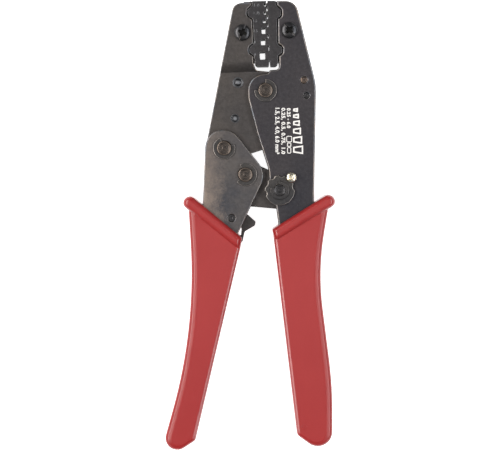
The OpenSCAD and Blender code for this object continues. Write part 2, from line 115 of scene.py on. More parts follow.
def make_stage():
    """A pale floor under the tool, a broad soft box over it and two long ones beside it."""
    mesh = bpy.data.meshes.new("floor")
    mesh.from_pydata([(FLOOR_HALF * x, FLOOR_HALF * y, 0) for x, y in SQUARE], [], [(0, 1, 2, 3)])
    floor = linked("floor", mesh)
    tree, shader = new_material("pale_floor", roughness=0.9)
    mottle = noise(tree, 3.0)
    tree.links.new(ramp(tree, mottle, [(0.3, (0.86, 0.86, 0.86)), (0.7, (0.90, 0.90, 0.90))]),
                   shader.inputs["Base Color"])
    shader.inputs["Emission Color"].default_value = (1, 1, 1, 1)
    shader.inputs["Emission Strength"].default_value = FLOOR_GLOW
    mesh.materials.append(bpy.data.materials["pale_floor"])
    for box in SOFT_BOXES:
        make_light(*box)
    world = bpy.data.worlds.new("studio")
    bpy.context.scene.world = world
    world.use_nodes = True
    world.node_tree.nodes["Background"].inputs["Color"].default_value = (0.96, 0.98, 1.0, 1)
    world.node_tree.nodes["Background"].inputs["Strength"].default_value = WORLD_STRENGTH
    bpy.context.scene.view_settings.view_transform = "Standard"


# ---------------------------------------------------------------- material nodes

def new_material(name, **sockets):
    """A material's node tree and its shader, whose constant values are set on its own sockets."""
    made = bpy.data.materials.new(name)
    made.use_nodes = True
    shader = made.node_tree.nodes["Principled BSDF"]
    for key, value in sockets.items():
        shader.inputs[key.replace("_", " ").title().replace("Ior", "IOR")].default_value = value
    return made.node_tree, shader


def add(tree, kind, inputs=(), **settings):
    node = tree.nodes.new("ShaderNode" + kind)
    for key, value in settings.items():
        setattr(node, key, value)
    for key, value in dict(inputs).items():
        if isinstance(value, bpy.types.NodeSocket):
            tree.links.new(value, node.inputs[key])
        else:
            node.inputs[key].default_value = value
    return node


def noise(tree, scale, detail=3.0, rough=0.55, stretch=(1, 1, 1)):
    """A noise in object coordinates, which are in metres: its scale is in cells a metre."""
    where = add(tree, "TexCoord").outputs["Object"]
    stretched = add(tree, "Mapping", {"Vector": where, "Scale": stretch}).outputs["Vector"]
    return add(tree, "TexNoise", {"Vector": stretched, "Scale": scale, "Detail": detail,
                                  "Roughness": rough}).outputs["Fac"]


def ramp(tree, value, stops):
    """A colour, or a grey level, from a value: stops are (value, colour or level)."""
    node = add(tree, "ValToRGB", {"Fac": value})
    points = node.color_ramp.elements
    while len(points) < len(stops):
        points.new(0.5)
    for point, (at, colour) in zip(points, stops):
        point.position = at
        point.color = (*colour, 1) if isinstance(colour, tuple) else (colour, colour, colour, 1)
    return node.outputs["Color"]


def mix(tree, share, a, b, how="MIX"):
    node = add(tree, "Mix", data_type="RGBA", blend_type=how)
    for socket, value in ((node.inputs[0], share), (node.inputs[6], a), (node.inputs[7], b)):
        if isinstance(value, bpy.types.NodeSocket):
            tree.links.new(value, socket)
        else:
            socket.default_value = (*value, 1) if isinstance(value, tuple) else value
    return node.outputs[2]


def math_node(tree, how, a, b=0.0):
    node = add(tree, "Math", operation=how)
    for socket, value in zip(node.inputs, (a, b)):
        if isinstance(value, bpy.types.NodeSocket):
            tree.links.new(value, socket)
        else:
            socket.default_value = value
    return node.outputs[0]


def paint(tree, shader, colour, rough):
    tree.links.new(colour, shader.inputs["Base Color"])
    tree.links.new(rough, shader.inputs["Roughness"])


def bump(tree, shader, heights):
    """Chains bumps on a shader: heights are (height, strength, distance)."""
    normal = None
    for height, strength, distance in heights:
        node = add(tree, "Bump", {"Height": height, "Strength": strength, "Distance": distance})
        if normal is not None:
            tree.links.new(normal, node.inputs["Normal"])
        normal = node.outputs["Normal"]
    tree.links.new(normal, shader.inputs["Normal"])


def distance_to_axis(tree):
    """How far a point lies from the upright axis through its object's origin."""
    where = add(tree, "TexCoord").outputs["Object"]
    flat = add(tree, "VectorMath", {0: where, 1: (1, 1, 0)}, operation="MULTIPLY").outputs[0]
    return add(tree, "VectorMath", {0: flat}, operation="LENGTH").outputs["Value"]


def clouded(name, colour, rough, grain=None, **sockets):
    """A material whose colour and roughness follow noises: each is (noise settings, ramp stops)."""
    tree, shader = new_material(name, **sockets)
    paint(tree, shader, *(ramp(tree, noise(tree, *settings), stops) for settings, stops in (colour, rough)))
    if grain:
        settings, strength, distance = grain
        bump(tree, shader, [(noise(tree, *settings), strength, distance)])


# ---------------------------------------------------------------- materials

def steel(name, cold, warm, rough, grain=1.0):
    """Oxide-blacked sheet steel: cloudy colour, rolling marks, a fine pitted grain."""
    tree, shader = new_material(name, metallic=0.88)
    clouds = noise(tree, 55, 5, 0.62)
    broad = noise(tree, 14, 2)
    colour = ramp(tree, clouds, [(0.32, cold), (0.68, warm)])
    colour = mix(tree, ramp(tree, broad, [(0.35, 0.0), (0.7, 0.55)]), colour, warm)
    mottle = ramp(tree, noise(tree, 620, 3, 0.7), [(0.35, 0.88), (0.65, 1.12)])
    colour = mix(tree, 1.0, colour, mottle, "MULTIPLY")
    specks = noise(tree, 1500, 2, 0.7)
    colour = mix(tree, ramp(tree, specks, [(0.62, 0.0), (0.78, 0.35)]), colour, (0.16, 0.15, 0.145))
    marks = noise(tree, 420, 3, 0.6, (1, 0.12, 1))
    low, high = rough
    paint(tree, shader, colour, ramp(tree, mix(tree, 0.5, clouds, marks), [(0.35, low), (0.65, high)]))
    bump(tree, shader, [(noise(tree, 2600, 2, 0.6), 0.35 * grain, 0.00004), (clouds, 0.12, 0.0004)])
    return tree, shader


def make_handle_steel():
    """The handle's plates: bluish, rubbed brown down to the hand, and lighter brown towards their outer side,
    where painted light from the left lies over the brown oxide.
    """
    tree, shader = steel("handle_steel", (0.076, 0.076, 0.086), (0.125, 0.112, 0.106), (0.38, 0.52))
    pivot = centre_of("main_pivot_pin")
    edge, fade = pivot.x - 0.0300, 0.017
    foot, reach = pivot.y - 0.060, 0.030
    where = add(tree, "SeparateXYZ", {"Vector": add(tree, "TexCoord").outputs["Object"]}).outputs
    share = math_node(tree, "DIVIDE", math_node(tree, "SUBTRACT", where["X"], edge), fade)
    share = math_node(tree, "ADD", share, noise(tree, 90, 5, 0.65))
    share = math_node(tree, "ADD", share, math_node(tree, "MULTIPLY", noise(tree, 1000, 3, 0.7), 0.7))
    # Painted light with brown oxide: the plates turn lighter brown towards their outer side, as if lit from
    # the left
    rubbed_and_lit = ramp(tree, math_node(tree, "DIVIDE", share, 2.0), [(0.40, 1.0), (0.74, 0.0)])
    hand = math_node(tree, "DIVIDE", math_node(tree, "SUBTRACT", where["Y"], foot), reach)
    rubbed_and_lit = mix(tree, 1.0, rubbed_and_lit, ramp(tree, hand, [(0.0, 1.0), (1.0, 0.35)]), "MULTIPLY")
    before = shader.inputs["Base Color"].links[0].from_socket
    tree.links.new(mix(tree, rubbed_and_lit, before, (0.360, 0.285, 0.235)), shader.inputs["Base Color"])


def make_steel_materials():
    steel("blacked_sheet", (0.052, 0.050, 0.057), (0.068, 0.061, 0.064), (0.40, 0.54))
    steel("jaw_steel", (0.070, 0.065, 0.066), (0.096, 0.084, 0.077), (0.40, 0.54))
    steel("dark_link_steel", (0.068, 0.062, 0.062), (0.088, 0.078, 0.073), (0.42, 0.55))
    steel("ground_die_steel", (0.045, 0.043, 0.046), (0.060, 0.056, 0.057), (0.50, 0.62), 1.8)
    steel("ring_steel", (0.058, 0.056, 0.059), (0.077, 0.071, 0.067), (0.38, 0.5))
    make_handle_steel()
    # The rolled edges of the sheet steel, where the oxide is rubbed thin; the first of them also paints a
    # highlight in the screws' slots
    for name, cold, warm in (("worn_edge", (0.150, 0.156, 0.172), (0.225, 0.190, 0.165)),
                             ("die_edge", (0.150, 0.156, 0.172), (0.260, 0.245, 0.235)),
                             ("clip_edge", (0.180, 0.172, 0.172), (0.340, 0.290, 0.255)),
                             ("bright_edge", (0.14, 0.135, 0.135), (0.42, 0.37, 0.33)),
                             ("dark_edge", (0.055, 0.055, 0.060), (0.085, 0.075, 0.068))):
        clouded(name, ((120, 4, 0.65), [(0.35, cold), (0.65, warm)]), ((600, 3), [(0.3, 0.30), (0.7, 0.46)]),
                ((1800, 2), 0.25, 0.00004), metallic=0.92)


def make_turned_materials():
    """Lathe-turned ends of pins: rings about the piece's own axis, with a bronze oxide, and a painted
    highlight around the rim.
    """
    ring_pitch = 8200            # in radians a metre
    for name, inner, outer in (("turned_bronze", (0.048, 0.045, 0.044), (0.130, 0.102, 0.084)),
                               ("turned_dark", (0.045, 0.044, 0.047), (0.080, 0.075, 0.074)),
                               ("turned_copper", (0.060, 0.050, 0.046), (0.20, 0.145, 0.115))):
        tree, shader = new_material(name, metallic=0.95)
        away = distance_to_axis(tree)
        wobble = math_node(tree, "MULTIPLY", noise(tree, 300, 2), 0.00035)
        phase = math_node(tree, "MULTIPLY", math_node(tree, "ADD", away, wobble), ring_pitch)
        rings = math_node(tree, "SINE", phase)
        level = math_node(tree, "ADD", math_node(tree, "MULTIPLY", rings, 0.26), noise(tree, 330, 4, 0.7))
        colour = ramp(tree, level, [(0.28, inner), (0.80, outer)])
        # Painted highlight: each end is lighter near its rim, as if its chamfer caught the side lights
        rim = ramp(tree, math_node(tree, "DIVIDE", away, 0.0040), [(0.66, 0.0), (0.78, 0.8)])
        colour = mix(tree, rim, colour, tuple(1.7 * level for level in outer))
        paint(tree, shader, colour, ramp(tree, noise(tree, 700, 3), [(0.3, 0.28), (0.7, 0.44)]))
        bump(tree, shader, [(rings, 0.35, 0.00003), (noise(tree, 2400, 2), 0.2, 0.00003)])

    # Riveted posts: a bright crown inside a dark collar, with a light ring near the collar's edge; the crown
    # and the ring are painted highlights
    dark = (0.045, 0.045, 0.048)
    tree, shader = new_material("rubbed_dome", metallic=0.95)
    away = math_node(tree, "DIVIDE", distance_to_axis(tree), 0.0030)
    level = math_node(tree, "ADD", away, math_node(tree, "MULTIPLY", noise(tree, 500, 3), 0.15))
    stops = [(0.24, (0.27, 0.275, 0.29)), (0.46, dark), (0.66, dark), (0.76, (0.12, 0.12, 0.125))]
    rough = ramp(tree, noise(tree, 700, 3), [(0.3, 0.26), (0.7, 0.40)])
    paint(tree, shader, ramp(tree, level, stops), rough)
    bump(tree, shader, [(noise(tree, 2400, 2), 0.2, 0.00003)])


def make_other_materials():
    # Black screw heads: smooth, and a little bluer than the plates
    clouded("screw_black", ((260, 4), [(0.3, (0.042, 0.043, 0.048)), (0.7, (0.070, 0.067, 0.068))]),
            ((500, 2), [(0.3, 0.27), (0.7, 0.40)]), ((2000, 2), 0.2, 0.00003), metallic=0.9)
    # Painted shade: the screw recesses are nearly black, for the shadow inside them
    clouded("recess_black", ((900, 3), [(0.3, (0.004, 0.004, 0.004)), (0.7, (0.014, 0.013, 0.012))]),
            ((500, 2), [(0.3, 0.60), (0.7, 0.75)]), specular_ior_level=0.15)
    # Stamped figures: bright burrs on the die steel
    clouded("stamp_mark", ((1500, 3, 0.7), [(0.36, (0.12, 0.12, 0.125)), (0.58, (0.40, 0.40, 0.41))]),
            ((900, 2), [(0.3, 0.40), (0.7, 0.55)]), metallic=0.85)
    # The lock screw's nickel, yellowed in places
    clouded("yellowed_nickel", ((420, 4), [(0.35, (0.83, 0.81, 0.76)), (0.65, (0.70, 0.60, 0.40))]),
            ((600, 3), [(0.3, 0.16), (0.7, 0.30)]), ((1500, 3), 0.25, 0.00004), metallic=1.0)
    # Drawn spring wire
    clouded("spring_wire", ((500, 3), [(0.3, (0.30, 0.30, 0.31)), (0.7, (0.46, 0.45, 0.44))]),
            ((800, 2), [(0.3, 0.22), (0.7, 0.36)]), ((3000, 2), 0.2, 0.00002), metallic=1.0)
    # White printing ink, thin enough in places to show the steel
    clouded("print_ink", ((1400, 3, 0.7), [(0.28, (0.48, 0.46, 0.44)), (0.42, (0.86, 0.83, 0.79))]),
            ((900, 2), [(0.3, 0.50), (0.7, 0.68)]), specular_ior_level=0.35)

    # Moulded vinyl: nearly even, with a fine spark-eroded grain and slow clouds
    tree, shader = new_material("moulded_vinyl", specular_ior_level=0.25, coat_weight=0.85,
                                coat_roughness=0.24)
    clouds = noise(tree, 26, 4, 0.55)
    fine = noise(tree, 900, 3, 0.6)
    colour = ramp(tree, clouds, [(0.30, (0.322, 0.0140, 0.0135)), (0.70, (0.357, 0.0200, 0.0190))])
    colour = mix(tree, ramp(tree, fine, [(0.40, 0.0), (0.75, 0.30)]), colour, (0.306, 0.0150, 0.0150))
    paint(tree, shader, colour, ramp(tree, mix(tree, 0.5, clouds, fine), [(0.35, 0.34), (0.65, 0.44)]))
    bump(tree, shader, [(noise(tree, 1600, 3, 0.6), 0.22, 0.00005), (clouds, 0.10, 0.0005)])


# ---------------------------------------------------------------- mesh helpers

WELD = 2e-6                # corners nearer than this are one corner
FLAT = math.radians(0.5)   # faces that turn less than this are one face
SHARP = math.radians(38)   # edges that turn more than this are shaded sharp
LEVEL = 2e-5               # corners nearer than this to a height are at it
HOLE_RIM = 0.00040         # the most that a hole's rim is rounded


def cad_copy(node):
    """A CAD node's mesh with shared corners and each flat face in one piece."""
    mesh = bmesh.new()
    mesh.from_mesh(frame["nodes"][node].data)
    bmesh.ops.remove_doubles(mesh, verts=mesh.verts, dist=WELD)
    bmesh.ops.dissolve_limit(mesh, angle_limit=FLAT, verts=mesh.verts, edges=mesh.edges)
    return mesh


def solids_of(node):
    """The (lowest, highest) corners of each separate solid in a CAD node, from the highest Y down."""
    mesh = cad_copy(node)
    left, boxes = set(mesh.verts), []
    while left:
        stack, found = [left.pop()], []
        while stack:
            vert = stack.pop()
            found.append(vert.co.copy())
            for edge in vert.link_edges:
                other = edge.other_vert(vert)
                if other in left:
                    left.discard(other)
                    stack.append(other)
        boxes.append([Vector([pick(p[i] for p in found) for i in range(3)]) for pick in (min, max)])
    mesh.free()
    return sorted(boxes, key=lambda b: (-b[0].y, b[0].x))


def centre_of(node):
    low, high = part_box(node)
    return (low + high) / 2


def finish_piece(name, mesh, node, materials, replaced=(), origin=(0, 0, 0), rides=True):
    """Makes an object of a bmesh, which then stands for its CAD nodes and rides on their body."""
    data = bpy.data.meshes.new(name)
    bmesh.ops.recalc_face_normals(mesh, faces=mesh.faces)
    mesh.transform(Matrix.Translation(-Vector(origin)))
    mesh.to_mesh(data)
    mesh.free()
    piece = linked(name, data)
    piece.location = origin
    for material in materials:
        data.materials.append(bpy.data.materials[material])
    data.shade_smooth()
    data.set_sharp_from_angle(angle=SHARP)
    if rides:
        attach(piece, BODY_OF[node])
    if replaced:
        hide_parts(*replaced)
    return piece


def flat_shaded(piece):
    """Keeps a piece's flat faces flat beside its rounded rims."""
    flat = piece.modifiers.new("flat", "WEIGHTED_NORMAL")
    flat.keep_sharp = True
    flat.weight = 60


def sheet_piece(node, width, materials):
    """A look for a CAD part of any shape, with its sharp edges rounded in its second material."""
    piece = finish_piece(node + "_look", cad_copy(node), node, materials, [node])
    rolled = piece.modifiers.new("rolled", "BEVEL")
    rolled.width = width
    rolled.segments = 3
    rolled.limit_method = "ANGLE"
    rolled.angle_limit = math.radians(50)
    rolled.use_clamp_overlap = False
    rolled.miter_outer = "MITER_ARC"
    rolled.material = 1
    flat_shaded(piece)


def turned(name, node, profile, centre, materials, sides=64, replaced=()):
    """A lathe-turned piece about an upright axis. Its profile is (radius, height) from below upwards."""
    mesh = bmesh.new()
    rings = []
    for radius, height in profile:
        around = [2 * math.pi * i / sides for i in range(sides if radius > WELD else 1)]
        rings.append([mesh.verts.new((centre[0] + radius * math.cos(a), centre[1] + radius * math.sin(a),
                                      height)) for a in around])
    for low, high in zip(rings, rings[1:]):
        for i in range(sides):
            j = (i + 1) % sides
            corners = [low[i % len(low)], low[j % len(low)], high[j % len(high)], high[i % len(high)]]
            corners = [c for k, c in enumerate(corners) if c not in corners[:k]]
            mesh.faces.new(corners)
    return finish_piece(name, mesh, node, materials, replaced, (centre[0], centre[1], 0))


def rounded_step(radius, height, round_r, way):
    """Points around the rim of a disc: way 1 turns from the side up to the face, -1 from a face below."""
    steps = 4
    turns = [math.pi / 2 * i / steps for i in range(steps + 1)]
    inner = radius - round_r
    if way < 0:
        return [(inner + round_r * math.sin(a), height + round_r - round_r * math.cos(a)) for a in turns]
    return [(inner + round_r * math.cos(a), height - round_r + round_r * math.sin(a)) for a in turns]


def passing(mesh, materials=()):
    """A passing object, to combine with a piece and then remove."""
    data = bpy.data.meshes.new("passing")
    bmesh.ops.recalc_face_normals(mesh, faces=mesh.faces)
    mesh.to_mesh(data)
    mesh.free()
    for material in materials:
        data.materials.append(material)
    return linked("passing", data)


def combine(piece, other, operation):
    """Joins a passing object to a piece, takes it away, or keeps only what lies in both, for good."""
    boolean = piece.modifiers.new("combine", "BOOLEAN")
    boolean.object = other
    boolean.operation = operation
    boolean.solver = "EXACT"
    bpy.context.view_layer.update()
    result = bpy.data.meshes.new_from_object(piece.evaluated_get(bpy.context.evaluated_depsgraph_get()))
    piece.modifiers.clear()
    materials = list(piece.data.materials)
    surfaces = [face.material_index for face in result.polygons]
    piece.data = result
    # Clearing the materials also clears which one each face has, so it is set again
    piece.data.materials.clear()
    for material in materials:
        piece.data.materials.append(material)
    for face, index in zip(piece.data.polygons, surfaces):
        face.material_index = index
    bpy.data.objects.remove(other)


def cut(piece, cutters):
    """Takes bmeshes away from a piece, about its own origin: cutters are (bmesh, its cut's material)."""
    for cutter, surface in cutters:
        for face in cutter.faces:
            face.material_index = surface
        tool = passing(cutter, piece.data.materials)
        tool.location = piece.matrix_world.translation
        combine(piece, tool, "DIFFERENCE")


def chained(faces):
    """The outlines around a list of faces, each with the faces on its left.

    The faces are walked in the list's order, because a set's order differs from run to run.
    """
    inside = set(faces)
    follow = {}
    for face in faces:
        for loop in face.loops:
            if not any(f in inside and f is not face for f in loop.edge.link_faces):
                follow[loop.vert] = loop.link_loop_next.vert
    loops = []
    while follow:
        start, here = next(iter(follow.items()))
        path = [start.co.xy.copy()]
        del follow[start]
        while here in follow:
            path.append(here.co.xy.copy())
            here = follow.pop(here)
        loops.append(path)
    return loops


def upper_loops(node, height=None):
    """The outlines, holes too, of a CAD node's upward faces, or of those at one height."""
    mesh = cad_copy(node)
    bmesh.ops.recalc_face_normals(mesh, faces=mesh.faces)
    faces = [f for f in mesh.faces if f.normal.z > 0.3
             and (height is None or all(abs(v.co.z - height) < LEVEL for v in f.verts))]
    loops = chained(faces)
    mesh.free()
    return loops


def area_of(path):
    return sum(a.x * b.y - a.y * b.x for a, b in zip(path, path[1:] + path[:1])) / 2


def face_loop(node, height):
    """The outer outline, counter-clockwise, of a CAD node's upward faces at a height."""
    return max(upper_loops(node, height), key=area_of)


def gap_to(point, loop):
    """The distance from a point to a closed outline."""
    best = 1.0
    px, py = point
    for a, b in zip(loop, loop[1:] + loop[:1]):
        dx, dy = b.x - a.x, b.y - a.y
        long = dx * dx + dy * dy
        share = 0 if long == 0 else min(1, max(0, ((px - a.x) * dx + (py - a.y) * dy) / long))
        best = min(best, math.hypot(a.x + share * dx - px, a.y + share * dy - py))
    return best


def moved_inwards(loop, widths):
    """Where each corner of an outline goes when the outline moves into its material, each by its own width.

    A corner that would come too near the outline takes the place of its nearest good neighbour.
    """
    count = len(loop)
    places, good = [], []
    for i, (here, width) in enumerate(zip(loop, widths)):
        before = (here - loop[i - 1]).normalized()
        after = (loop[(i + 1) % count] - here).normalized()
        normal = Vector((-before.y - after.y, before.x + after.x)).normalized()
        at = here + normal * width / max(0.5, normal.dot(Vector((-after.y, after.x))))
        places.append(at)
        good.append(gap_to(at, loop) > 0.94 * width)
    if not any(good):
        return places
    chosen = list(places)
    for i in range(count):
        if not good[i]:
            step = next(k for k in range(1, count) if good[i - k] or good[(i + k) % count])
            chosen[i] = places[i - step if good[i - step] else (i + step) % count]
    return chosen


def ring_between(mesh, loop, targets, share, height):
    """Vertices along an outline, moved part of the way to their targets. Equal neighbours are one vertex."""
    ring = []
    for i, (here, target) in enumerate(zip(loop, targets)):
        if share == 1 and i and target == targets[i - 1]:
            ring.append(ring[-1])
        elif share == 1 and i == len(loop) - 1 and target == targets[0]:
            ring.append(ring[0])
        else:
            at = here.lerp(target, share)
            ring.append(mesh.verts.new((at.x, at.y, height)))
    return ring


def bridge(mesh, below, above, material=0):
    """Faces between two rings with as many vertices each."""
    for i in range(len(below)):
        j = (i + 1) % len(below)
        corners = [below[i], below[j], above[j], above[i]]
        corners = [c for n, c in enumerate(corners) if c not in corners[:n]]
        if len(corners) > 2:
            mesh.faces.new(corners).material_index = material


def cap(mesh, rings):
    """Closes a flat end, whose first ring is its outline and the others its holes."""
    paths = [[v for n, v in enumerate(ring) if v not in ring[:n]] for ring in rings]
    flat = [v for path in paths for v in path]
    for triangle in tessellate_polygon([[Vector((v.co.x, v.co.y, 0)) for v in path] for path in paths]):
        corners = [flat[i] for i in triangle]
        if mesh.faces.get(corners) is None:
            mesh.faces.new(corners)


def rolled_prism(loops, low, high, width, steps=3):
    """An upright prism over outlines whose material lies on their left, with its rims rounded.

    The rims are in the second material. Outlines with holes are allowed.
    """
    mesh = bmesh.new()
    turns = [math.pi / 2 * i / steps for i in range(steps + 1)]
    levels = [(1 - math.cos(a), low + width * (1 - math.sin(a))) for a in reversed(turns)]
    levels += [(1 - math.cos(a), high - width * (1 - math.sin(a))) for a in turns]
    levels = [(1 if share > 0.9999 else share, height) for share, height in levels]
    ends = [[], []]
    for loop in loops:
        inset = width if area_of(loop) > 0 else min(width, HOLE_RIM)
        targets = moved_inwards(loop, [inset] * len(loop))
        rings = [ring_between(mesh, loop, targets, share, height) for share, height in levels]
        for k, (below, above) in enumerate(zip(rings, rings[1:])):
            bridge(mesh, below, above, 0 if k == steps else 1)
        ends[0].append(rings[0])
        ends[1].append(rings[-1])
    for end in ends:
        cap(mesh, end)
    bmesh.ops.recalc_face_normals(mesh, faces=mesh.faces)
    return mesh


def rolled_piece(node, width, materials, steps=3, least_hole=0.0):
    """A look for a CAD plate of one thickness. Smaller holes than the least are left out, as filled ones."""
    low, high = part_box(node)
    loops = [loop for loop in upper_loops(node, high.z) if abs(area_of(loop)) > least_hole]
    mesh = rolled_prism(loops, low.z, high.z, width, steps)
    flat_shaded(finish_piece(node + "_look", mesh, node, materials, [node]))


# ---------------------------------------------------------------- sheet steel

def joggle(mesh, foot, lean, length, rise):
    """Presses a bend into a flat jaw plate: it starts sharply at its foot and ends softly."""
    strips = int(length / 0.0004)
    across = Vector((-lean, 1, 0)).normalized()
    bmesh.ops.dissolve_limit(mesh, angle_limit=FLAT, verts=mesh.verts, edges=mesh.edges)
    for k in range(strips + 2):
        bmesh.ops.bisect_plane(mesh, geom=mesh.verts[:] + mesh.edges[:] + mesh.faces[:], dist=WELD,
                               plane_co=(foot[0], foot[1] + k * length / strips, 0), plane_no=across)
    for vert in mesh.verts:
        share = (vert.co.y - foot[1] - lean * (vert.co.x - foot[0])) / length
        vert.co.z += rise * math.sin(math.pi / 2 * min(1, max(0, share)))


def make_jaw_plates():
    """The moving jaw's plates: pressed from the level of the link's plates out to the frame's faces."""
    pivot = centre_of("main_pivot_pin")
    bend_foot = (pivot.x - 0.023, pivot.y + 0.0083)
    bend_lean, bend_length = 0.05, 0.0058
    low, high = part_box("link_plate_front")
    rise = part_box("frame_plate_front")[1].z - high.z
    middle = centre_of("frame_spacer").z
    for side, way in (("front", 1), ("back", -1)):
        node = "jaw_plate_" + side
        levels = sorted([middle + way * (low.z - middle), middle + way * (high.z - middle)])
        mesh = rolled_prism(upper_loops(node), levels[0], levels[1], 0.0005)
        joggle(mesh, bend_foot, bend_lean, bend_length, way * rise)
        flat_shaded(finish_piece(node + "_look", mesh, node, ["jaw_steel", "worn_edge"], [node]))


def make_die(node, way):
    """A die: its body with the nests, the tongue that its screw holds, and a shoulder between the plates."""
    mesh = cad_copy(node)
    heights = sorted({round(f.calc_center_median().z, 6) for f in mesh.faces if abs(f.normal.z) > 0.99})
    mesh.free()
    low, tongue_low, tongue_high, high = heights[0], heights[1], heights[-2], heights[-1]
    body = rolled_prism(upper_loops(node, high), low, high, 0.00013, 2)
    flat_shaded(finish_piece(node + "_look", body, node, ["ground_die_steel", "die_edge"], [node]))
    tongue = rolled_prism(upper_loops(node, tongue_high), tongue_low, tongue_high, 0.0001, 1)
    finish_piece(node + "_tongue", tongue, node, ["ground_die_steel", "die_edge"])
    # The shoulder runs along the die's whole outer side
    outline = face_loop(node, high)
    top, foot = max(p.y for p in outline), min(p.y for p in outline)
    top_x = max(way * p.x for p in outline if p.y > top - 0.0010)
    foot_x = max(way * p.x for p in outline if p.y < foot + 0.0030)
    upper, lower = top - 0.0001, foot + 0.0017
    corners = [Vector((way * x, y)) for x, y in ((top_x - 0.0010, upper), (foot_x - 0.0006, lower),
                                                 (foot_x + 0.0039, lower), (top_x + 0.0040, upper))]
    if area_of(corners) < 0:
        corners.reverse()
    shoulder = rolled_prism([corners], tongue_low + 0.0001, tongue_high - 0.0001, 0.0003, 2)
    finish_piece(node + "_shoulder", shoulder, node, ["dark_link_steel", "dark_edge"])


def make_sheet_steel():
    for side in ("front", "back"):
        rolled_piece("frame_plate_" + side, 0.00075, ["blacked_sheet", "worn_edge"])
        rolled_piece("handle_plate_" + side, 0.0006, ["handle_steel", "worn_edge"])
        rolled_piece("link_plate_" + side, 0.0004, ["dark_link_steel", "dark_edge"], least_hole=2e-5)
    make_jaw_plates()
    make_die("fixed_die", 1)
    make_die("moving_die", -1)
    for node in ("frame_spacer", "frame_tang_spacer", "handle_tang_spacer", "jaw_spacer", "jaw_eye_washer"):
        sheet_piece(node, 0.0002, ["blacked_sheet", "dark_edge"])
    sheet_piece("link_ratchet_plate", 0.00015, ["ground_die_steel", "dark_edge"])
    sheet_piece("pawl", 0.00025, ["dark_link_steel", "dark_edge"])
    rolled_piece("adjuster_wheel", 0.0004, ["ring_steel", "bright_edge"])
    for node, edge in (("main_pivot_clip", "clip_edge"), ("handle_pin_clip", "clip_edge"),
                       ("toggle_pin_clip", "clip_edge"), ("adjuster_clip", "dark_edge")):
        rolled_piece(node, 0.00024, ["ring_steel", edge], 2)


# ---------------------------------------------------------------- pins, rivets and screws

PIN_R = 0.0035
POST_R = 0.0014
RIVET_R = 0.0016
DOME_R = 0.0017
SMALL_SIDES = 40       # how many sides the smaller turned pieces have
PLAY = 0.00005         # the space left between two pieces that don't touch


def pin_profile(node, radius, head_r, groove):
    """A pin with a domed head behind, a groove for its ring, and a chamfered end with a centre mark."""
    low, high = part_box(node)
    head_top = low.z + 0.0016
    depth, start, end = groove
    dish = high.z - 0.00012
    mark = dish + 0.00006
    return [(0, low.z), *rounded_step(head_r, low.z, 0.0006, -1), (head_r, head_top), (radius, head_top),
            (radius, start), (radius - depth, start), (radius - depth, end), (radius, end),
            *rounded_step(radius, high.z, 0.00045, 1), (radius - 0.0007, high.z), (radius - 0.0009, dish),
            (0.0006, dish), (0.0005, mark), (0.0003, mark), (0, dish - 0.0001)]


def make_pins():
    """Three plain pins, and the adjuster's pin with its eccentric middle."""
    plate_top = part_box("frame_plate_front")[1].z
    groove = (0.0006, plate_top + PLAY, plate_top + 0.00095)
    for node in ("main_pivot_pin", "handle_pin", "toggle_pin"):
        low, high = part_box(node)
        turned(node + "_look", node, pin_profile(node, PIN_R, (high.x - low.x) / 2, groove), centre_of(node),
               ["turned_bronze"], replaced=[node])
    node = "adjuster_pin"
    clip_low, clip_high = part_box("adjuster_clip")
    wheel = centre_of("adjuster_wheel")
    turned(node + "_look", node, pin_profile(node, 0.0029, 0.0045, (0.0003, clip_low.z, clip_high.z)),
           (wheel.x, wheel.y), ["turned_dark"], replaced=[node])
    spacer_low, spacer_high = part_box("frame_spacer")
    low, high = spacer_low.z + PLAY, spacer_high.z - PLAY
    throw, rim, roll = 0.0003, 0.0036, 0.0003
    profile = [(0, low), *rounded_step(rim, low, roll, -1), *rounded_step(rim, high, roll, 1), (0, high)]
    turned("adjuster_eccentric", node, profile, (wheel.x - throw, wheel.y + throw), ["turned_dark"])


def dome(radius, seat, height):
    """The top of a rivet's dome, from its rim to its middle."""
    steps = 7
    return [(radius * math.cos(math.pi / 2 * i / steps), seat + height * math.sin(math.pi / 2 * i / steps))
            for i in range(steps)] + [(0, seat + height)]


def both_ends(top, middle):
    """A profile that is the same below as above, given its upper half from its widest point to the axis."""
    return [(r, 2 * middle - z) for r, z in reversed(top)] + top


